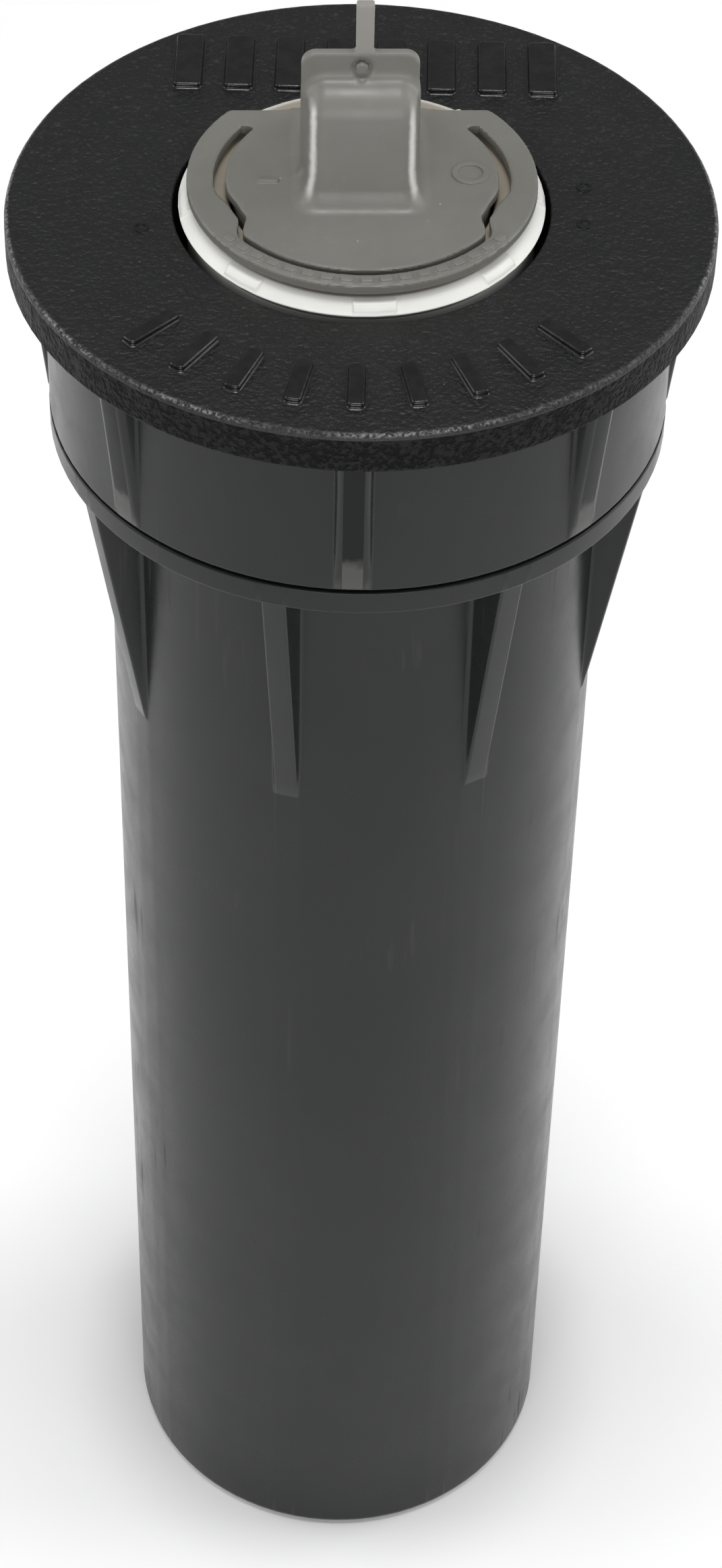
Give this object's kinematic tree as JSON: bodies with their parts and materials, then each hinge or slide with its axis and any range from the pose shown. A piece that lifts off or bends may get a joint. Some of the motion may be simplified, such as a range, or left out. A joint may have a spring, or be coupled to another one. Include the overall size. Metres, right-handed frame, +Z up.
{
  "type": "pop up sprinkler",
  "caption": "Pop-up spray sprinkler: a cylindrical case with a screw cap, a sprung riser that lifts out of it, and a flush plug with a pull ring.",
  "frame": {"origin": "centre of the case's flat bottom", "axes": "+Z up along the riser, -Y towards the front, where the flush plug's hood turns its closed face"},
  "size_m": [0.057, 0.057, 0.1737],
  "materials": {
    "case_plastic": "semi-gloss moulded dark grey",
    "cap_plastic": "fine leather-grain black with a semi-gloss skirt",
    "seal_rubber": "matt",
    "white_plastic": "satin moulded white",
    "guide_plastic": "satin moulded grey",
    "spring_steel": "drawn stainless wire",
    "plug_plastic": "satin polyethylene, mid grey"
  },
  "bodies": {
    "case": {"case_body": "case_plastic"},
    "cap_seat": {"seal_support_ring": "white_plastic", "retraction_spring": "spring_steel"},
    "cap": {"body_cap": "cap_plastic", "wiper_seal": "seal_rubber", "cap_gasket": "seal_rubber"},
    "ratchet": {"ratchet_ring": "guide_plastic"},
    "riser": {"riser_stem": "white_plastic", "riser_foot": "white_plastic"},
    "plug": {"flush_plug": "plug_plastic"},
    "ring": {"pull_ring": "plug_plastic"}
  },
  "joints": [
    {"name": "cap_lift", "type": "slide", "parent": "case", "child": "cap_seat", "axis": [0, 0, 1], "range_m": [0, 0.01]},
    {"name": "cap_turn", "type": "hinge", "parent": "cap_seat", "child": "cap", "pos_m": [0, 0, 0.145], "axis": [0, 0, 1], "range_deg": [0, 900]},
    {"name": "riser_lift", "type": "slide", "parent": "cap_seat", "child": "ratchet", "axis": [0, 0, 1], "range_m": [0, 0.1], "stiffness_N_per_m": 200, "springref_m": -0.06, "deforming": ["retraction_spring"]},
    {"name": "riser_turn", "type": "hinge", "parent": "ratchet", "child": "riser", "pos_m": [0, 0, 0.1], "axis": [0, 0, 1], "continuous": true},
    {"name": "plug_lift", "type": "slide", "parent": "riser", "child": "plug", "axis": [0, 0, 1], "range_m": [0, 0.012]},
    {"name": "ring_pull", "type": "hinge", "parent": "plug", "child": "ring", "pos_m": [-0.00029, 0.00699, 0.15765], "axis": [-0.9991, -0.0419, 0], "range_deg": [0, 100], "stiffness_Nm_per_rad": 0.001}
  ],
  "couplings": [
    {"joint": "cap_lift", "follows": "cap_turn", "m_per_rad": 0.0006366}
  ]
}
